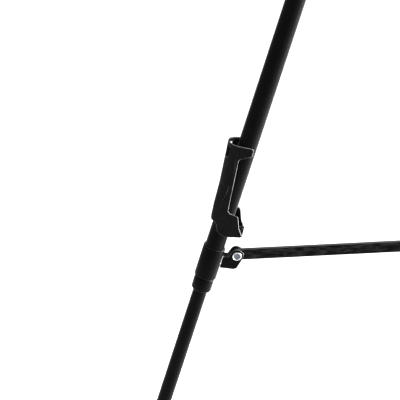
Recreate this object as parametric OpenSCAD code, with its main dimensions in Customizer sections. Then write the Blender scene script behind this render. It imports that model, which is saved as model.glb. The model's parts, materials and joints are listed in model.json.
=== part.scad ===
// Tripod display easel: three telescoping legs on a crown, braced by a
// spreader hub, with a swing-out chart support on each of the two front legs.
// Millimetres, +Z up, standing on z = 0, front towards -Y. The origin is under
// the middle of the easel's bounding box.
//
// Leg frame: origin on the leg's axis at the collar's top rim, +Z up along the
// leg, +X away from the easel's centre line, Y along the brace pivots.

/* [Stance] */
// Lean of each leg from vertical, degrees
lean = 16.2; // [14:0.1:18]
// Radius of the leg tops' hinge circle
crown_pivot_r = 26; // [24:1:30]
// Radius of the brace pivots on the spreader hub
hub_pivot_r = 20; // [19:1:24]
// Brace length between its two pivots
brace_l = 205; // [195:5:260]
// Lower leg showing below the clamp nut, down to the sole
reach = 420; // [120:10:640]

/* [Tubes] */
// Outer diameter of the upper tube
tube_d = 19.05; // [19:0.05:19.1]
// Wall of both tubes
tube_wall = 1; // [0.8:0.1:1.2]
// Outer diameter of the lower tube
lower_d = 14.3; // [14.1:0.1:14.5]
// Length of the lower tube
lower_l = 775; // [760:5:790]

/* [Collar and clamp] */
// Length of the collar
collar_l = 34.6; // [34:0.2:42]
// Outer radius of the collar
collar_r = 10.95; // [10.8:0.05:11.2]
// Length of the clamp nut
nut_l = 15; // [14:0.5:18]
// Outer radius of the clamp nut
nut_r = 9.9; // [9.7:0.1:10.3]

/* [Brace] */
// Height of the brace's section
brace_h = 10.7; // [10:0.1:11.5]
// Width of the brace's section
brace_w = 5.5; // [5:0.1:6]
// Distance from the leg's axis to the brace pivot on the collar's lug
lug_pivot_x = 23.6; // [23.4:0.2:28]

/* [Chart support] */
// Height of the support's pivot above the collar's top rim
support_z = 29.3; // [28:0.1:40]
// Length of the support above its pivot
support_l = 86.7; // [80:0.1:110]
// How far the support stands open from the leg at rest, degrees
support_open = 5.6; // [0:0.1:10]
// Turn of the support about the leg, towards the easel's front, degrees
support_turn = 13.5; // [0:0.5:30]

/* [Hidden] */

$fn = 64;
eps = 0.02;

// Azimuth of each leg
rear = 90;
left = 210;
right = 330;
legs = [rear, left, right];

tube_r = tube_d / 2;
tube_bore_r = tube_r - tube_wall;
lower_r = lower_d / 2;
running = 0.05;

// Crown and leg tops
tongue_w = 8;
tongue_r = 7;
crown_gap = 0.3;
crown_ear_t = 3.2;
crown_ear_r = 8;
crown_core_r = 15;
crown_core_h = 24;
plug_shoulder_z = -12;
plug_shoulder_h = 2.5;
plug_l = 22;

// Rivets and pins
pin_r = 2;
pin_hole_r = pin_r + running;
head_r = 4.55;
head_h = 1.1;

// Lug and brace pivot
lug_pivot_z = -3.9;
cheek_t = 1.7;
lug_gap = 0.2;
lug_w = brace_w + 2 * (lug_gap + cheek_t);
lug_nose_r = 6.8;
lug_web_l = 6.4;
brace_wall = 1.2;
brace_bend_r = 1.5;

// Clamp: the collar's neck carries the nut, and the ring grips the lower tube
seat_z = -30;
neck_l = 6.5;
neck_r = 8.5;
nut_gap = 0.3;
nut_bore_r = neck_r + 0.1;
nut_lip = 2;
ring_r = 8.4;

// Chart support
shell_gap = 0.4;
shell_t = 1.4;
shell_in_r = tube_r + shell_gap;
shell_r = shell_in_r + shell_t;
shell_edge_x = -3.2;
prong_x = -15.4;
heel_back_x = 12.4;
heel_corner_r = 6;
heel_top_z = 18;
heel_blend_z = 42;
support_swing = 72;
window_in_y = 1.1;
window_out_y = 8.4;
window_low_z = support_l - 14.7;
window_high_z = support_l - 4.2;
rib_x = 4.4;
stub_in_r = tube_bore_r - 0.3;
stub_out_r = shell_in_r + 0.8;

// Foot
foot_r = 10.5;
foot_wall_l = 26;
foot_tip = 6;

// Where the legs stand: the braces are level, which fixes the leg's length
top_to_lug = (hub_pivot_r + brace_l + lug_pivot_x * cos(lean) - crown_pivot_r) / sin(lean);
top_z = top_to_lug + lug_pivot_z;
collar_x = crown_pivot_r + top_z * sin(lean);
sole_drop = collar_l + nut_l + reach;
sole_lift = (foot_r - 1.5) * sin(lean) - 0.4;
collar_z = sole_drop * cos(lean) + sole_lift;
crown_z = collar_z + top_z * cos(lean);
brace_z = collar_z + lug_pivot_z * cos(lean) - lug_pivot_x * sin(lean);
foot_x = collar_x + sole_drop * sin(lean);
// The rear foot reaches twice as far from the crown's axis as the front pair
axis_y = -foot_x / 4;

// Places its children at the easel's upright axis, turned to a leg's azimuth
module at_leg(az) {
    translate([0, axis_y, 0]) rotate([0, 0, az]) children();
}

// Places its children in a leg's own frame
module in_leg(az) {
    at_leg(az) translate([collar_x, 0, collar_z]) rotate([0, -lean, 0]) children();
}

// Places its children in a chart support's own frame: origin at its pivot,
// +Z along the support, +X on its outer side, Y along the pivot pins
module in_support(az, side) {
    in_leg(az) rotate([0, 0, side * support_turn])
        translate([0, 0, support_z]) rotate([0, support_open, 0]) children();
}

// A plate of thickness t centred on Y, drawn in X and Z
module plate(t) {
    rotate([90, 0, 0]) linear_extrude(height = t, center = true) children();
}

// A round bar along Y, centred on it
module cross_bar(r, l) {
    rotate([90, 0, 0]) cylinder(r = r, h = l, center = true);
}

// A ring or tube turned from radius r_in to r_out between two heights
module ring(r_in, r_out, z_low, z_high) {
    translate([0, 0, z_low]) difference() {
        cylinder(r = r_out, h = z_high - z_low);
        translate([0, 0, -1]) cylinder(r = r_in, h = z_high - z_low + 2);
    }
}

// Corners of an arc about c, from angle a0 to a1
function arc(c, r, a0, a1, steps = 8) =
    [for (i = [0:steps]) c + r * [cos(a0 + (a1 - a0) * i / steps), sin(a0 + (a1 - a0) * i / steps)]];

// Crown: the moulded head that the three legs hinge in
module crown() {
    ear_mid = tongue_w / 2 + crown_gap + crown_ear_t / 2;
    color("#1b1b1c") translate([0, axis_y, crown_z]) difference() {
        union() {
            rotate_extrude() polygon(concat(
                [[0, -crown_core_h / 2], [crown_core_r - 1.5, -crown_core_h / 2],
                 [crown_core_r, -crown_core_h / 2 + 1.5]],
                arc([crown_core_r - 5, crown_core_h / 2 - 1], 5, 0, 60),
                [[0, crown_core_h / 2 + 6]]));
            for (az = legs) rotate([0, 0, az]) for (s = [-1, 1]) translate([0, s * ear_mid, 0])
                plate(crown_ear_t) {
                    translate([crown_pivot_r, 0]) circle(r = crown_ear_r);
                    translate([4, -crown_ear_r]) square([crown_pivot_r - 4, 2 * crown_ear_r]);
                }
        }
        for (az = legs) rotate([0, 0, az]) {
            translate([crown_pivot_r, 0, 0]) cross_bar(pin_r, 2 * tongue_w + 4);
            // Room for the leg's tongue, open outwards and downwards
            slot_w = tongue_w + 2 * crown_gap;
            plate(slot_w) translate([crown_pivot_r - tongue_r - 1, -crown_core_h])
                square([30, 2 * crown_core_h]);
        }
    }
}

// Crown pins: a headed stub in each of the crown's six ears
module crown_pins() {
    ear_in = tongue_w / 2 + crown_gap;
    ear_out = ear_in + crown_ear_t;
    color("#b9babc") translate([0, axis_y, crown_z]) for (az = legs, s = [-1, 1])
        rotate([0, 0, az]) translate([crown_pivot_r, 0, 0]) rotate([s * 90, 0, 0]) {
            translate([0, 0, ear_in]) cylinder(r = pin_r, h = crown_ear_t + eps);
            translate([0, 0, ear_out]) rotate_extrude() rivet_head(4, 1.4);
        }
}

// Half outline of a shallow domed rivet head with a flat middle
module rivet_head(r, h) {
    polygon([[0, 0], [r, 0], [r, h * 0.45], [r * 0.93, h * 0.8], [r * 0.8, h], [0, h]]);
}

// Spreader hub: holds the inner ends of the three braces
module spreader_hub() {
    ear_t = 2.6;
    ear_r = 6.5;
    core_r = 12;
    core_h = 15;
    gap = brace_w + 2 * lug_gap;
    ear_mid = gap / 2 + ear_t / 2;
    color("#1b1b1c") translate([0, axis_y, brace_z]) difference() {
        union() {
            rotate_extrude() polygon(concat(
                [[0, -core_h / 2], [core_r - 1.2, -core_h / 2], [core_r, -core_h / 2 + 1.2]],
                arc([core_r - 2.5, core_h / 2 - 2.5], 2.5, 0, 90), [[0, core_h / 2]]));
            for (az = legs) rotate([0, 0, az]) for (s = [-1, 1]) translate([0, s * ear_mid, 0])
                plate(ear_t) {
                    translate([hub_pivot_r, 0]) circle(r = ear_r);
                    translate([3, -ear_r]) square([hub_pivot_r - 3, 2 * ear_r]);
                }
        }
        for (az = legs) rotate([0, 0, az]) {
            translate([hub_pivot_r, 0, 0]) cross_bar(pin_r, 4 * ear_t + gap);
            plate(gap) translate([hub_pivot_r - brace_h / 2 - 0.7, -core_h]) square([30, 2 * core_h]);
        }
    }
}

// Hub pins: one headed pin through each pair of hub ears and its brace
module hub_pins() {
    half_w = brace_w / 2 + lug_gap + 2.6;
    color("#b9babc") translate([0, axis_y, brace_z]) for (az = legs)
        rotate([0, 0, az]) translate([hub_pivot_r, 0, 0]) {
            cross_bar(pin_r, 2 * half_w + 2 * eps);
            for (s = [-1, 1]) rotate([s * 90, 0, 0]) translate([0, 0, half_w])
                rotate_extrude() rivet_head(3.6, 1.2);
        }
}

// Leg tube: the upper tube, from the end plug down to its seat in the collar
module leg_tube(az, side = 0) {
    color("#161617") in_leg(az) difference() {
        ring(tube_bore_r, tube_r, seat_z, top_z + plug_shoulder_z);
        if (side != 0) rotate([0, 0, side * support_turn]) translate([0, 0, support_z])
            cross_bar(pin_r, 2 * tube_r + 4);
    }
}

// End plug: closes the tube's top and carries the tongue that the crown holds
module end_plug(az) {
    color("#1b1b1c") in_leg(az) translate([0, 0, top_z]) difference() {
        union() {
            plate(tongue_w) {
                circle(r = tongue_r);
                translate([-tongue_r, plug_shoulder_z + 1]) square([2 * tongue_r, -plug_shoulder_z - 1]);
            }
            translate([0, 0, plug_shoulder_z])
                cylinder(r1 = tube_r + 0.25, r2 = tube_r - 0.8, h = plug_shoulder_h);
            translate([0, 0, plug_shoulder_z - plug_l]) cylinder(r = tube_bore_r, h = plug_l + eps);
        }
        cross_bar(pin_hole_r, 2 * tongue_w);
    }
}

// Outline of the collar's lug, seen from the side in the leg frame
function lug_outline() = concat(
    [[-collar_r + 1.5, -20.4], [-24.4, -19]],
    arc([-24.4, -15.4], 3.2, -100, -160, 3),
    [[-29.7, -7.6]],
    arc([-lug_pivot_x, lug_pivot_z], lug_nose_r, -152, -320, 12),
    [[-15.8, -6.7], [-collar_r + 1.5, -7.4]]);

// Collar: moulded sleeve on the tube's lower end, with a forked lug for the
// brace and a threaded neck below for the clamp nut
module collar(az) {
    rim_gap = 0.35;
    color("#19191a") in_leg(az) difference() {
        union() {
            rotate_extrude() polygon(concat(
                [[lower_r + 0.4, -collar_l - neck_l], [neck_r, -collar_l - neck_l],
                 [neck_r, -collar_l]],
                arc([collar_r - 1.6, -collar_l + 1.6], 1.6, -90, 0, 5),
                arc([collar_r - 0.5, -0.5], 0.5, 0, 90, 4),
                [[tube_r + rim_gap, 0], [tube_r + rim_gap, -2.2], [tube_r, -2.6],
                 [tube_r, seat_z], [lower_r + 0.4, seat_z]]));
            difference() {
                plate(lug_w) polygon(lug_outline());
                cylinder(r = collar_r - 0.3, h = 100, center = true);
            }
        }
        // Slot for the brace, open at the top and inwards
        plate(brace_w + 2 * lug_gap) translate([-50, lug_pivot_z - brace_h / 2 - 1])
            square([50 - collar_r - lug_web_l, 30]);
        translate([-lug_pivot_x, 0, lug_pivot_z]) cross_bar(pin_r, 20);
    }
}

// Lug rivet: the bright rivet through the lug and the brace's outer end
module lug_rivet(az) {
    color("#c9cacc") in_leg(az) translate([-lug_pivot_x, 0, lug_pivot_z]) {
        cross_bar(pin_r, lug_w + 2 * eps);
        for (s = [-1, 1]) rotate([s * 90, 0, 0]) translate([0, 0, lug_w / 2])
            rotate_extrude() rivet_head(head_r, head_h);
    }
}

// Grip ring: split ring under the neck that the nut squeezes onto the lower tube
module grip_ring(az) {
    top = -collar_l - neck_l - 0.1;
    bottom = -collar_l - nut_l + nut_lip + 0.2;
    color("#3a3a3c") in_leg(az) difference() {
        rotate_extrude() polygon([[lower_r + running, top], [ring_r, top],
            [ring_r, bottom + 2], [ring_r - 0.6, bottom], [lower_r + running, bottom]]);
        translate([0, -0.8, bottom - 1]) cube([20, 1.6, top - bottom + 2]);
    }
}

// Clamp nut: turns on the collar's neck
module clamp_nut(az) {
    top = -collar_l - nut_gap;
    bottom = -collar_l - nut_l;
    color("#19191a") in_leg(az) rotate_extrude() polygon(concat(
        [[lower_r + 0.3, bottom]],
        arc([nut_r - 2, bottom + 2], 2, -90, 0, 5),
        arc([nut_r - 0.5, top - 0.5], 0.5, 0, 90, 4),
        [[nut_bore_r, top], [nut_bore_r, bottom + nut_lip], [lower_r + 0.3, bottom + nut_lip]]));
}

// Lower tube: slides in the leg tube
module lower_tube(az) {
    bottom = -sole_drop + foot_tip;
    color("#131314") in_leg(az) ring(lower_r - tube_wall, lower_r, bottom, bottom + lower_l);
}

// Slide bush: rides on the lower tube's top end inside the leg tube
module slide_bush(az) {
    bush_l = 24;
    top = -sole_drop + foot_tip + lower_l;
    color("#3a3a3c") in_leg(az) {
        ring(lower_r, tube_bore_r - 0.08, top - bush_l, top);
        ring(lower_r - tube_wall - 1.5, tube_bore_r - 0.08, top, top + 1.5);
    }
}

// Foot: rubber tip with a sole cut level for the easel's stance
module foot(az) {
    color("#101011") difference() {
        in_leg(az) translate([0, 0, -sole_drop]) rotate_extrude() polygon(concat(
            [[0, -2], [foot_r - 4, -2]],
            arc([foot_r - 4, 2], 4, -90, 0, 5),
            [[foot_r, foot_tip + 2], [foot_r - 1, foot_tip + 4],
             [foot_r - 1.4, foot_wall_l - 3], [lower_r + 1.2, foot_wall_l],
             [lower_r, foot_wall_l], [lower_r, foot_tip], [0, foot_tip]]));
        translate([-600, -600, -50]) cube([1200, 1200, 50]);
    }
}

// Section of the brace's outside, with its two upper bends
module brace_section() {
    low = -brace_h / 2;
    translate([-brace_w / 2, low]) square([brace_w, brace_h - brace_bend_r]);
    translate([brace_bend_r - brace_w / 2, low]) square([brace_w - 2 * brace_bend_r, brace_h]);
    for (s = [-1, 1])
        translate([s * (brace_w / 2 - brace_bend_r), -low - brace_bend_r]) circle(r = brace_bend_r);
}

// Brace: folded steel channel, open below, round-ended about its pivots
module brace(az) {
    half_h = brace_h / 2;
    color("#1c1c1e") at_leg(az) translate([hub_pivot_r, 0, brace_z]) difference() {
        intersection() {
            plate(brace_w + 2) {
                for (x = [0, brace_l]) translate([x, 0]) circle(r = half_h);
                translate([0, -half_h]) square([brace_l, brace_h]);
            }
            translate([-half_h - 1, 0, 0]) rotate([90, 0, 90])
                linear_extrude(height = brace_l + brace_h + 2) brace_section();
        }
        plate(brace_w - 2 * brace_wall) {
            for (x = [0, brace_l]) translate([x, 0]) circle(r = half_h - brace_wall);
            translate([0, -half_h - 1]) square([brace_l, brace_h - brace_wall + 1]);
        }
        for (x = [0, brace_l]) translate([x, 0, 0]) cross_bar(pin_hole_r, 20);
    }
}

// Side outline of the chart support, in its own frame: prongs at the far end,
// a straight free edge, ears that hang below the pivot, and a rounded heel
function support_outline() = concat(
    [[heel_back_x + 1, support_l]],
    arc([prong_x + 2, support_l - 2], 2, 90, 180, 5),
    arc([prong_x + 2.4, support_l - 6.6], 2.4, 180, 250, 5),
    arc([shell_edge_x - 3, support_l - 16.1], 3, 68, 0, 6),
    arc([shell_edge_x - 2.8, 17.1], 2.8, 0, -78, 6),
    arc([-12.2, 10.4], 2.2, 102, 158, 5),
    [[-17.3, 0.2]],
    arc([-19.4, -7.3], 1.8, 154, 255, 6),
    arc([-5.4, -1], 10.7, -100, 0, 12),
    [[6.1, 0.4], [7.6, 2], [9.4, 2.6], [heel_back_x + 1, 3]]);

// Section of the trough at its heel, open towards -X: flat sides and a back
// with rounded corners. Inset is the distance inside the outer surface
module heel_section(inset) {
    half_w = shell_r - inset;
    back = heel_back_x - inset;
    corner_r = heel_corner_r - inset;
    translate([-30, -half_w]) square([30 + back - corner_r, 2 * half_w]);
    translate([-30, corner_r - half_w]) square([30 + back, 2 * (half_w - corner_r)]);
    for (s = [-1, 1]) translate([back - corner_r, s * (half_w - corner_r)]) circle(r = corner_r);
}

// The space inside the trough's outer surface, or inside its inner one at an
// inset: square at the heel, round above heel_blend_z
module trough(inset) {
    r = shell_r - inset;
    module round_section() {
        circle(r = r);
        translate([-30, -r]) square([30, 2 * r]);
    }
    hull() {
        translate([0, 0, -30]) linear_extrude(height = 30 + heel_top_z) heel_section(inset);
        translate([0, 0, heel_blend_z]) linear_extrude(height = eps) round_section();
    }
    translate([0, 0, heel_blend_z]) linear_extrude(height = 100) round_section();
}

// Chart support: an open trough that lies round the tube, with two prongs at its
// far end, a rib between two windows that meets the tube when it is pushed in,
// two flat ears at the pivot and a web across them that stops it swinging out
module chart_support(az, side) {
    color("#1a1a1b") in_support(az, side) difference() {
        union() {
            intersection() {
                difference() {
                    trough(0);
                    trough(shell_t);
                }
                plate(40) polygon(support_outline());
            }
            // Web across the ears' lower edges
            plate(2 * shell_in_r + shell_t)
                polygon([[-22, -6.2], [-21.7, -8.2], [-15, -10], [-10, -11.1], [-10, -8]]);
            // Rib inside the back, between the windows
            plate(2 * window_in_y) polygon([[rib_x, window_low_z], [rib_x, window_high_z],
                [shell_r - shell_t / 2, window_high_z + 1], [shell_r - shell_t / 2, window_low_z - 9]]);
        }
        // A window on each side of the rib, with a sill that falls towards it
        for (s = [-1, 1]) rotate([90, 0, 90]) linear_extrude(height = 30)
            polygon([[s * window_in_y, window_low_z - 3], [s * window_out_y, window_low_z],
                [s * window_out_y, window_high_z], [s * window_in_y, window_high_z]]);
        // Room for the tube's lower part when the support is swung right out
        rotate([0, -support_open - support_swing, 0]) translate([0, 0, -40])
            cylinder(r = shell_in_r - 0.1, h = 40);
        cross_bar(pin_hole_r, 2 * stub_out_r + 0.4);
    }
}

// Support pins: two short stubs in the tube's wall, clear of the tube's bore
module support_pins(az, side) {
    color("#8d8e90") in_leg(az) rotate([0, 0, side * support_turn]) translate([0, 0, support_z])
        for (s = [-1, 1]) rotate([s * 90, 0, 0]) translate([0, 0, stub_in_r])
            cylinder(r = pin_r, h = stub_out_r - stub_in_r);
}

crown();
crown_pins();
spreader_hub();
hub_pins();
leg_tube(rear);  // leg_tube_rear
leg_tube(left, 1);  // leg_tube_left
leg_tube(right, -1);  // leg_tube_right
end_plug(rear);  // end_plug_rear
end_plug(left);  // end_plug_left
end_plug(right);  // end_plug_right
collar(rear);  // collar_rear
collar(left);  // collar_left
collar(right);  // collar_right
lug_rivet(rear);  // lug_rivet_rear
lug_rivet(left);  // lug_rivet_left
lug_rivet(right);  // lug_rivet_right
grip_ring(rear);  // grip_ring_rear
grip_ring(left);  // grip_ring_left
grip_ring(right);  // grip_ring_right
clamp_nut(rear);  // clamp_nut_rear
clamp_nut(left);  // clamp_nut_left
clamp_nut(right);  // clamp_nut_right
lower_tube(rear);  // lower_tube_rear
lower_tube(left);  // lower_tube_left
lower_tube(right);  // lower_tube_right
slide_bush(rear);  // slide_bush_rear
slide_bush(left);  // slide_bush_left
slide_bush(right);  // slide_bush_right
foot(rear);  // foot_rear
foot(left);  // foot_left
foot(right);  // foot_right
brace(rear);  // brace_rear
brace(left);  // brace_left
brace(right);  // brace_right
chart_support(left, 1);  // chart_support_left
chart_support(right, -1);  // chart_support_right
support_pins(left, 1);  // support_pins_left
support_pins(right, -1);  // support_pins_right
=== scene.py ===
"""Looks of the tripod display easel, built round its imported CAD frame. Metres, +Z up."""
import bmesh
import bpy
import json
import math
from mathutils import Matrix, Vector

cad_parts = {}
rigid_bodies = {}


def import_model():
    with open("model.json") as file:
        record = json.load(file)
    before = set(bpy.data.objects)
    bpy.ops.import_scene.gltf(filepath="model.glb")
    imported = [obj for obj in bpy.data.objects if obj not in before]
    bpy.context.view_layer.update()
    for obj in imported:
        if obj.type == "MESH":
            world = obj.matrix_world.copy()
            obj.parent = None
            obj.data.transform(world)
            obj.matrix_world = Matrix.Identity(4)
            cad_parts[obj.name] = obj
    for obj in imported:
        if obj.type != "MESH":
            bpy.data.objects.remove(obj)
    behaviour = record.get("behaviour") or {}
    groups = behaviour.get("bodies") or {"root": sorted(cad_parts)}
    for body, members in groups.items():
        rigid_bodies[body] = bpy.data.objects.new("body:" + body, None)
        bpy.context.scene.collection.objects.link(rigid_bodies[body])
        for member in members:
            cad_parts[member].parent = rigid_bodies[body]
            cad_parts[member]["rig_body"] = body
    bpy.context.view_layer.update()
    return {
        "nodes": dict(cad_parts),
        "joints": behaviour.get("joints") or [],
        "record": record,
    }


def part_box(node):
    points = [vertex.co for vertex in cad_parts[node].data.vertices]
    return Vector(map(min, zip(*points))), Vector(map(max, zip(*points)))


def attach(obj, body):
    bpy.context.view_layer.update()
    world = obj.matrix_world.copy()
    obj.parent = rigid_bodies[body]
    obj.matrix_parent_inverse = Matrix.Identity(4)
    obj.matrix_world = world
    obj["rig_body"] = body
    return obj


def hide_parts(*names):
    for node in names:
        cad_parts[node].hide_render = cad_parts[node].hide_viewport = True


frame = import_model()
NODES = frame["nodes"]
JOINTS = {joint["name"]: joint for joint in frame["joints"]}
SLOTS = {part["node"]: part["material_slot"] for part in frame["record"]["subparts"]}
MM = 0.001
LEGS = ("rear", "left", "right")


def kind_of(node):
    """A node's name without its side."""
    stem, _, side = node.rpartition("_")
    return stem if side in LEGS else node


# ---------------------------------------------------------------- frames

NUT_DEPTH = 40 * MM                  # the nut's joint is this far below the collar's top rim
SUPPORT_OPEN = math.radians(5.6)     # angle between a chart support and its leg at rest


def axes(origin, x, y, z):
    """A frame as a matrix, from its origin and its three unit axes."""
    turn = Matrix((x, y, z)).transposed()
    return Matrix.Translation(origin) @ turn.to_4x4()


def leg_frame(side):
    """Origin at the collar's top rim on the leg's axis, Z up the leg, X outwards."""
    joint = JOINTS[f"nut_{side}_turn"]
    up = -Vector(joint["axis"]).normalized()
    across = up.cross(Vector((0, 0, -1))).normalized()
    out = across.cross(up)
    return axes(Vector(joint["pos_m"]) + up * NUT_DEPTH, out, across, up)


def brace_frame(side):
    """Origin at the brace's inner pivot, X along the brace, Z up."""
    joint = JOINTS[f"brace_{side}_pivot"]
    across = Vector(joint["axis"]).normalized()
    up = Vector((0, 0, 1))
    return axes(Vector(joint["pos_m"]), across.cross(up), across, up)


def support_frame(side):
    """Origin at the chart support's pivot, Z along the support, X on its outer side."""
    joint = JOINTS[f"support_{side}_pivot"]
    across = Vector(joint["axis"]).normalized()
    up = leg_frame(side).to_3x3().col[2]
    out = across.cross(up)
    tilt = Matrix.Rotation(SUPPORT_OPEN, 3, across)
    return axes(Vector(joint["pos_m"]), tilt @ out, across, tilt @ up)


def centre_frame(node):
    """Upright frame on the easel's own axis, at the middle of a node's height."""
    pivots = [Vector(JOINTS[f"brace_{side}_pivot"]["pos_m"]) for side in LEGS]
    middle = sum(pivots, Vector()) / len(pivots)
    low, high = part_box(node)
    middle.z = (low.z + high.z) / 2
    return Matrix.Translation(middle)


def frame_of(node):
    """The local frame in which a node's surface is textured."""
    side = node.rpartition("_")[2]
    if side not in LEGS:
        return centre_frame(node)
    if node.startswith("brace"):
        return brace_frame(side)
    if node.startswith("chart_support"):
        return support_frame(side)
    return leg_frame(side)


# ---------------------------------------------------------------- materials

class Graph:
    """A small helper that adds and links shader nodes."""

    def __init__(self, name):
        self.material = bpy.data.materials.new(name)
        self.material.use_nodes = True
        self.tree = self.material.node_tree
        self.bsdf = self.tree.nodes["Principled BSDF"]
        self.local = self.add("ShaderNodeAttribute", attribute_name="local").outputs["Vector"]
        self.edge = self.add("ShaderNodeAttribute", attribute_name="edge").outputs["Fac"]

    def add(self, kind, **settings):
        node = self.tree.nodes.new(kind)
        for key, value in settings.items():
            setattr(node, key, value)
        return node

    def feed(self, socket, value):
        if isinstance(value, bpy.types.NodeSocket):
            self.tree.links.new(value, socket)
        else:
            socket.default_value = value

    def scaled(self, scale):
        """Local position in millimetres, stretched by scale along each axis."""
        node = self.add("ShaderNodeVectorMath", operation="MULTIPLY")
        self.feed(node.inputs[0], self.local)
        node.inputs[1].default_value = [s / MM for s in scale]
        return node.outputs[0]

    def noise(self, per_mm, detail=2.0, roughness=0.5, stretch=(1, 1, 1)):
        """Noise from 0 to 1 with per_mm cells in a millimetre."""
        node = self.add("ShaderNodeTexNoise")
        self.feed(node.inputs["Vector"], self.scaled([s * per_mm for s in stretch]))
        node.inputs["Scale"].default_value = 1.0
        node.inputs["Detail"].default_value = detail
        node.inputs["Roughness"].default_value = roughness
        return node.outputs["Fac"]

    def remap(self, value, low, high, to_low=0.0, to_high=1.0):
        node = self.add("ShaderNodeMapRange")
        self.feed(node.inputs["Value"], value)
        for name, number in (("From Min", low), ("From Max", high),
                             ("To Min", to_low), ("To Max", to_high)):
            node.inputs[name].default_value = number
        return node.outputs["Result"]

    def maths(self, operation, a, b):
        node = self.add("ShaderNodeMath", operation=operation)
        self.feed(node.inputs[0], a)
        self.feed(node.inputs[1], b)
        return node.outputs[0]

    def mix(self, factor, a, b):
        node = self.add("ShaderNodeMix", data_type="RGBA")
        self.feed(node.inputs["Factor"], factor)
        self.feed(node.inputs["A"], a)
        self.feed(node.inputs["B"], b)
        return node.outputs["Result"]

    def facing_up(self, low, high):
        """0 to 1 as the surface turns from a slope to level; low and high are its normal's height."""
        split = self.add("ShaderNodeSeparateXYZ")
        self.feed(split.inputs[0], self.add("ShaderNodeNewGeometry").outputs["Normal"])
        return self.remap(split.outputs["Z"], low, high)

    def from_axis(self):
        """Distance from the local Z axis in millimetres."""
        node = self.add("ShaderNodeVectorMath", operation="LENGTH")
        self.feed(node.inputs[0], self.scaled((1, 1, 0)))
        return node.outputs["Value"]

    def bump(self, height, depth):
        """Bump of the given depth in metres."""
        node = self.add("ShaderNodeBump")
        node.inputs["Strength"].default_value = 1.0
        node.inputs["Distance"].default_value = depth
        self.feed(node.inputs["Height"], height)
        return node.outputs["Normal"]

    def finish(self, colour, roughness, normal, **constants):
        """Feeds the shader; constants name sockets, with _ for a space."""
        self.feed(self.bsdf.inputs["Base Color"], colour)
        self.feed(self.bsdf.inputs["Roughness"], roughness)
        self.feed(self.bsdf.inputs["Normal"], normal)
        for name, value in constants.items():
            self.bsdf.inputs[name.replace("_", " ")].default_value = value
        return self.material


def grey(value, blue=1.04):
    """A near-neutral colour, a little cool unless blue says otherwise."""
    return (value, value, value * blue, 1)


def moulded_black():
    """Fine-grained black plastic, with a painted highlight along its edges."""
    g = Graph("moulded_black")
    cloud = g.noise(0.09, 3)
    grain = g.noise(0.9, 3, 0.7)
    # painted highlight: the rolled edges are coloured towards a paler grey, broken up by noise
    painted_edge_highlight = g.maths("MULTIPLY", g.edge, g.remap(g.noise(0.35, 3, 0.6), 0.3, 0.62, 0.45, 1))
    body = g.mix(g.remap(cloud, 0.3, 0.7), grey(0.0035), grey(0.0055))
    body = g.mix(g.remap(grain, 0.42, 0.72, 0, 0.6), body, grey(0.018))
    colour = g.mix(painted_edge_highlight, body, grey(0.16))
    rough = g.remap(g.noise(0.5, 3), 0.3, 0.7, 0.46, 0.58)
    rough = g.maths("SUBTRACT", rough, g.maths("MULTIPLY", painted_edge_highlight, 0.14))
    return g.finish(colour, rough, g.bump(grain, 0.035 * MM), Specular_IOR_Level=0.08)


def collar_black():
    """Smoother, glossier moulding for the collars and clamp nuts, with a painted highlight along its
    edges, strongest round the barrel.
    """
    g = Graph("collar_black")
    cloud = g.noise(0.12, 3)
    grain = g.noise(2.4, 2)
    # painted highlight: the rolled edges are coloured towards a pale grey, faded away from the barrel
    # onto the lug
    painted_edge_highlight = g.maths("MULTIPLY", g.edge, g.remap(g.noise(0.35, 3, 0.6), 0.3, 0.62, 0.45, 1))
    painted_edge_highlight = g.maths("MULTIPLY", painted_edge_highlight, g.remap(g.from_axis(), 11.2, 12.5, 1, 0.25))
    body = g.mix(g.remap(cloud, 0.3, 0.7), grey(0.0008), grey(0.0018))
    colour = g.mix(painted_edge_highlight, body, grey(0.5))
    rough = g.remap(g.noise(0.5, 3), 0.3, 0.7, 0.32, 0.42)
    return g.finish(colour, rough, g.bump(grain, 0.012 * MM), Specular_IOR_Level=0.08)


def tube_black():
    """Satin enamel on drawn tube, with a faint orange peel and lengthwise rubs."""
    g = Graph("tube_black")
    streak = g.noise(1.4, 2, 0.5, (1, 1, 0.02))
    peel = g.noise(0.55, 1)
    # painted highlight along the tube's rolled edges, coloured towards a paler grey
    painted_edge_highlight = g.maths("MULTIPLY", g.edge, 0.7)
    body = g.mix(g.remap(g.noise(0.03, 2), 0.3, 0.7), grey(0.0012), grey(0.0022))
    colour = g.mix(painted_edge_highlight, body, grey(0.03))
    rough = g.remap(streak, 0.3, 0.7, 0.30, 0.40)
    return g.finish(colour, rough, g.bump(peel, 0.012 * MM), Specular_IOR_Level=0.08)


def brace_black():
    """Wrinkled powder coat on folded strip, with a painted highlight on its top faces and its edges,
    its wrinkles drawn out along the brace.
    """
    g = Graph("brace_black")
    wrinkle = g.noise(0.40, 3, 0.65, (0.22, 1, 1))
    speck = g.noise(2.6, 2)
    # painted highlight along the brace's rolled edges, coloured towards a paler grey
    painted_edge_highlight = g.maths("MULTIPLY", g.edge, g.remap(g.noise(0.3, 3, 0.6, (0.4, 1, 1)), 0.3, 0.65, 0.3, 1))
    body = g.mix(g.remap(wrinkle, 0.44, 0.60), grey(0.0001), grey(0.016))
    body = g.mix(g.remap(speck, 0.55, 0.8, 0, 0.4), body, grey(0.012))
    # painted highlight: faces that look straight up are coloured paler
    body = g.mix(g.facing_up(0.93, 0.99), body, grey(0.035))
    colour = g.mix(painted_edge_highlight, body, grey(0.02))
    height = g.maths("ADD", wrinkle, g.maths("MULTIPLY", speck, 0.3))
    rough = g.remap(wrinkle, 0.35, 0.7, 0.40, 0.28)
    return g.finish(colour, rough, g.bump(height, 0.12 * MM), Specular_IOR_Level=0.07)


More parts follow.
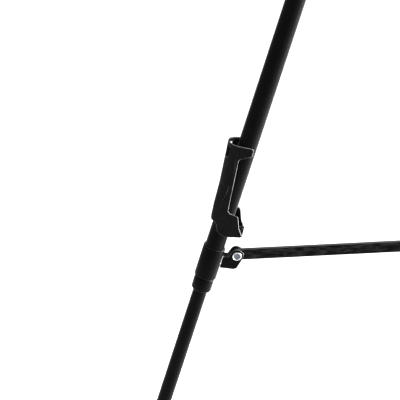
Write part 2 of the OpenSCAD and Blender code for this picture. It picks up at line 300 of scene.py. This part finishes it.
def rivet_steel():
    """Plated steel with a painted highlight on the rolled edge and a painted darker reflection on the
    flats.
    """
    g = Graph("rivet_steel")
    spin = g.noise(1.8, 3, 0.6)
    # painted darker reflection: the flats get a dark steel colour
    painted_dark_flats = g.mix(g.remap(spin, 0.3, 0.7), (0.12, 0.13, 0.15, 1), (0.17, 0.18, 0.20, 1))
    # painted highlight: the rolled ring is coloured near white
    colour = g.mix(g.edge, painted_dark_flats, (0.93, 0.93, 0.94, 1))
    rough = g.maths("SUBTRACT", g.remap(spin, 0.3, 0.7, 0.38, 0.5), g.maths("MULTIPLY", g.edge, 0.2))
    return g.finish(colour, rough, g.bump(g.noise(4, 2), 0.01 * MM), Metallic=1.0)


def nylon_grey():
    """Natural-finish dark nylon for the grip rings and slide bushes."""
    g = Graph("nylon_grey")
    body = g.mix(g.remap(g.noise(0.4, 3), 0.3, 0.7), grey(0.05), grey(0.075))
    colour = g.mix(g.maths("MULTIPLY", g.edge, 0.5), body, grey(0.2))
    rough = g.remap(g.noise(0.9, 2), 0.3, 0.7, 0.42, 0.55)
    return g.finish(colour, rough, g.bump(g.noise(2.5, 2), 0.02 * MM), Specular_IOR_Level=0.35)


def foot_rubber():
    """Matt rubber in dusty patches, paler along its edges."""
    g = Graph("foot_rubber")
    dust = g.noise(0.25, 4, 0.65)
    body = g.mix(g.remap(dust, 0.35, 0.75), grey(0.008), grey(0.022, 0.98))
    colour = g.mix(g.maths("MULTIPLY", g.edge, 0.45), body, grey(0.07, 0.96))
    rough = g.remap(dust, 0.3, 0.7, 0.72, 0.88)
    return g.finish(colour, rough, g.bump(g.noise(1.8, 3), 0.05 * MM), Specular_IOR_Level=0.25)


MATERIALS = {make.__name__: make() for make in (
    moulded_black, collar_black, tube_black, brace_black, rivet_steel, nylon_grey, foot_rubber)}

# ---------------------------------------------------------------- pieces

SMOOTH_BELOW = math.radians(35)      # edges between flatter faces than this stay smooth
FLAT_WITHIN = math.radians(1.2)      # faces this close to one plane are joined
WELD = 0.002 * MM                    # points this close are one
ROLL_SEGMENTS = 3                    # faces across a rolled edge
TURN_STEPS = 64                      # faces round a turned piece

# Kinds of piece whose finish differs from the usual one of their slot
FINISH_OF = {"collar": "collar_black", "clamp_nut": "collar_black"}
# Radius of the rolled edges of each kind of piece, in millimetres
EDGE_RADIUS = {
    "chart_support": 0.45, "collar": 0.5, "clamp_nut": 0.5, "crown": 0.8, "spreader_hub": 0.6,
    "end_plug": 0.4, "brace": 0.35, "foot": 0.5, "leg_tube": 0.2, "lower_tube": 0.2,
    "hub_pins": 0.12, "crown_pins": 0.12, "support_pins": 0.12,
    "grip_ring": 0.15, "slide_bush": 0.2,
}


def clean_shell(node):
    """A CAD node's surface as a bmesh with its flat faces whole again."""
    shell = bmesh.new()
    shell.from_mesh(NODES[node].data)
    bmesh.ops.remove_doubles(shell, verts=shell.verts, dist=WELD)
    bmesh.ops.dissolve_limit(shell, angle_limit=FLAT_WITHIN, verts=shell.verts, edges=shell.edges)
    for face in shell.faces:
        face.smooth = True
        face.material_index = 0
    for edge in shell.edges:
        edge.smooth = edge.calc_face_angle(0) < SMOOTH_BELOW
    return shell


def mark_edges(mesh):
    """Stores 1 on each point inside a rolled edge and 0 on the others."""
    on_round = [True] * len(mesh.vertices)
    near_round = [False] * len(mesh.vertices)
    for face in mesh.polygons:
        for point in face.vertices:
            if face.material_index == 1:
                near_round[point] = True
            else:
                on_round[point] = False
    mark = mesh.attributes.new("edge", "FLOAT", "POINT")
    mark.data.foreach_set("value", [float(a and b) for a, b in zip(on_round, near_round)])
    for face in mesh.polygons:
        face.material_index = 0


def place_texture(mesh, local_frame):
    """Stores each point's position in the piece's own frame, for its material."""
    inverse = local_frame.inverted()
    store = mesh.attributes.new("local", "FLOAT_VECTOR", "POINT")
    store.data.foreach_set("vector", [c for v in mesh.vertices for c in inverse @ v.co])


def show(piece, node):
    """Puts a finished piece in the scene in place of its CAD node."""
    piece.data.materials.clear()
    piece.data.materials.append(MATERIALS[FINISH_OF.get(kind_of(node), SLOTS[node])])
    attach(piece, NODES[node]["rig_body"])
    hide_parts(node)


def rounded(node, radius):
    """The node's surface with every hard edge rolled over to the given radius."""
    shell = clean_shell(node)
    base = bpy.data.meshes.new(f"{node}_sharp")
    shell.to_mesh(base)
    shell.free()
    base.materials.append(None)
    base.materials.append(None)
    piece = bpy.data.objects.new(f"{node}_detail", base)
    bpy.context.scene.collection.objects.link(piece)
    roll = piece.modifiers.new("roll", "BEVEL")
    roll.width = radius
    roll.segments = ROLL_SEGMENTS
    roll.limit_method = "ANGLE"
    roll.angle_limit = SMOOTH_BELOW
    roll.use_clamp_overlap = False
    roll.miter_outer = "MITER_ARC"
    roll.harden_normals = True
    roll.material = 1
    seen = piece.evaluated_get(bpy.context.evaluated_depsgraph_get())
    mesh = bpy.data.meshes.new_from_object(seen)
    piece.modifiers.clear()
    piece.data = mesh
    bpy.data.meshes.remove(base)
    mark_edges(mesh)
    place_texture(mesh, frame_of(node))
    show(piece, node)


def lathed(node, centre, axis, outline):
    """A turned piece about an axis. Outline rows: radius, place along the axis, edge mark."""
    place = Matrix.Translation(centre) @ axis.to_track_quat("Z", "Y").to_matrix().to_4x4()
    points, marks, rings, faces = [], [], [], []
    for radius, along, mark in outline:
        steps = TURN_STEPS if radius > 0 else 1
        rings.append(range(len(points), len(points) + steps))
        for step in range(steps):
            angle = math.tau * step / TURN_STEPS
            points.append(place @ Vector((radius * math.cos(angle), radius * math.sin(angle), along)))
            marks.append(mark)
    for low, high in zip(rings, rings[1:]):
        for i in range(TURN_STEPS):
            j = (i + 1) % TURN_STEPS
            corners = (low[i % len(low)], low[j % len(low)], high[j % len(high)], high[i % len(high)])
            faces.append(tuple(dict.fromkeys(corners)))
    mesh = bpy.data.meshes.new(f"{node}_detail")
    mesh.from_pydata(points, [], faces)
    mesh.shade_smooth()
    mesh.attributes.new("edge", "FLOAT", "POINT").data.foreach_set("value", marks)
    place_texture(mesh, frame_of(node))
    piece = bpy.data.objects.new(f"{node}_detail", mesh)
    bpy.context.scene.collection.objects.link(piece)
    show(piece, node)


def rivet_outline():
    """Outline of the lug rivet in millimetres: two rolled heads, dished inside, and a shank."""
    head = [(0, 5.35, 0), (3.45, 5.35, 0), (3.55, 5.37, 0), (3.65, 5.5, 0.6), (3.78, 5.68, 1),
            (3.95, 5.75, 1), (4.18, 5.72, 1), (4.38, 5.55, 1), (4.5, 5.2, 1), (4.55, 4.9, 0.4),
            (4.55, 4.66, 0), (2, 4.64, 0)]
    return head + [(r, -y, mark) for r, y, mark in reversed(head)]


def lug_rivet(side):
    """The bright rivet on the axis on which a leg's lug and its brace turn."""
    joint = JOINTS[f"leg_{side}_pivot"]
    outline = [(r * MM, y * MM, mark) for r, y, mark in rivet_outline()]
    lathed(f"lug_rivet_{side}", Vector(joint["pos_m"]), Vector(joint["axis"]), outline)


for node in sorted(NODES):
    if kind_of(node) == "lug_rivet":
        lug_rivet(node.rpartition("_")[2])
    else:
        rounded(node, EDGE_RADIUS[kind_of(node)] * MM)

# ---------------------------------------------------------------- camera

AZIMUTH = math.radians(144.26)
ELEVATION = math.radians(28.4)
DISTANCE = 3.0
FIELD = 0.3943                       # height of the view at the leg, in metres
AIM_LEFT = 0.0145                    # the view's middle, from the right leg's collar rim
AIM_UP = 0.0452
SENSOR = 36                          # millimetres
FARTHEST = 50                        # how far the camera sees, in metres
VIEW_RIGHT = Vector((math.cos(AZIMUTH), math.sin(AZIMUTH), 0))
VIEW_BACK = Vector((math.sin(AZIMUTH) * math.cos(ELEVATION),
                    -math.cos(AZIMUTH) * math.cos(ELEVATION), math.sin(ELEVATION)))
VIEW_UP = VIEW_BACK.cross(VIEW_RIGHT)


def make_camera():
    """Makes the scene's camera and returns the point that it looks at."""
    aim = leg_frame("right").translation - VIEW_RIGHT * AIM_LEFT + VIEW_UP * AIM_UP
    data = bpy.data.cameras.new("camera")
    data.sensor_width = SENSOR
    data.lens = SENSOR * DISTANCE / FIELD
    data.clip_end = FARTHEST
    camera = bpy.data.objects.new("camera", data)
    bpy.context.scene.collection.objects.link(camera)
    camera.matrix_world = axes(aim + VIEW_BACK * DISTANCE, VIEW_RIGHT, VIEW_UP, VIEW_BACK)
    bpy.context.scene.camera = camera
    return aim


aim = make_camera()

# ---------------------------------------------------------------- studio

TO_CAMERA = Vector((VIEW_BACK.x, VIEW_BACK.y, 0)).normalized()
UP = Vector((0, 0, 1))
BAND_TOP = math.sin(math.radians(50))     # height at which the bright band gives way to the ceiling
BAND_BLUR = 0.08                          # half the height over which it does
BAND_LIGHT = 0.9
CEILING_LIGHT = 0.05
FLOOR_SIDE = 40
FLOOR_WHITE = 0.9
VIEW_GAMMA = 0.82                         # deepens the blacks


def area_light(name, position, target, size, power, spread=180):
    """A rectangular light that faces its target; size and places in metres, power in watts."""
    data = bpy.data.lights.new(name, "AREA")
    data.shape = "RECTANGLE"
    data.size, data.size_y = size
    data.energy = power
    data.spread = math.radians(spread)
    light = bpy.data.objects.new(name, data)
    light.location = position
    light.rotation_euler = (position - target).to_track_quat("Z", "Y").to_euler()
    bpy.context.scene.collection.objects.link(light)
    return light


area_light("key", aim + VIEW_RIGHT * 1.5 - TO_CAMERA * 0.1, aim, (0.8, 1.2), 55, spread=50)
top = area_light("top", aim + UP * 1.8 + TO_CAMERA * 0.3, aim, (2.4, 1.6), 110)
top.visible_glossy = False


def studio_world():
    """Lights the object by a pale band under a dark ceiling; the backdrop itself is white."""
    world = bpy.data.worlds.new("world")
    world.use_nodes = True
    tree = world.node_tree
    direction = tree.nodes.new("ShaderNodeTexCoord")
    height = tree.nodes.new("ShaderNodeSeparateXYZ")
    ramp = tree.nodes.new("ShaderNodeMapRange")
    for name, value in (("From Min", BAND_TOP - BAND_BLUR), ("From Max", BAND_TOP + BAND_BLUR),
                        ("To Min", BAND_LIGHT), ("To Max", CEILING_LIGHT)):
        ramp.inputs[name].default_value = value
    seen = tree.nodes.new("ShaderNodeLightPath")
    strength = tree.nodes.new("ShaderNodeMath")
    strength.operation = "MAXIMUM"
    tree.links.new(direction.outputs["Generated"], height.inputs[0])
    tree.links.new(height.outputs["Z"], ramp.inputs["Value"])
    tree.links.new(ramp.outputs["Result"], strength.inputs[0])
    tree.links.new(seen.outputs["Is Camera Ray"], strength.inputs[1])
    tree.links.new(strength.outputs[0], tree.nodes["Background"].inputs["Strength"])
    tree.nodes["Background"].inputs["Color"].default_value = (1, 1, 1, 1)
    return world


def white_floor():
    """A wide square of white paper under the feet."""
    reach = FLOOR_SIDE / 2
    corners = [(-reach, -reach, 0), (reach, -reach, 0), (reach, reach, 0), (-reach, reach, 0)]
    mesh = bpy.data.meshes.new("floor")
    mesh.from_pydata(corners, [], [(0, 1, 2, 3)])
    paper = bpy.data.materials.new("paper")
    paper.use_nodes = True
    white = (FLOOR_WHITE, FLOOR_WHITE, FLOOR_WHITE, 1)
    paper.node_tree.nodes["Principled BSDF"].inputs["Base Color"].default_value = white
    mesh.materials.append(paper)
    floor = bpy.data.objects.new("floor", mesh)
    bpy.context.scene.collection.objects.link(floor)
    return floor


bpy.context.scene.world = studio_world()
bpy.context.scene.view_settings.view_transform = "Standard"
bpy.context.scene.view_settings.gamma = VIEW_GAMMA
white_floor()
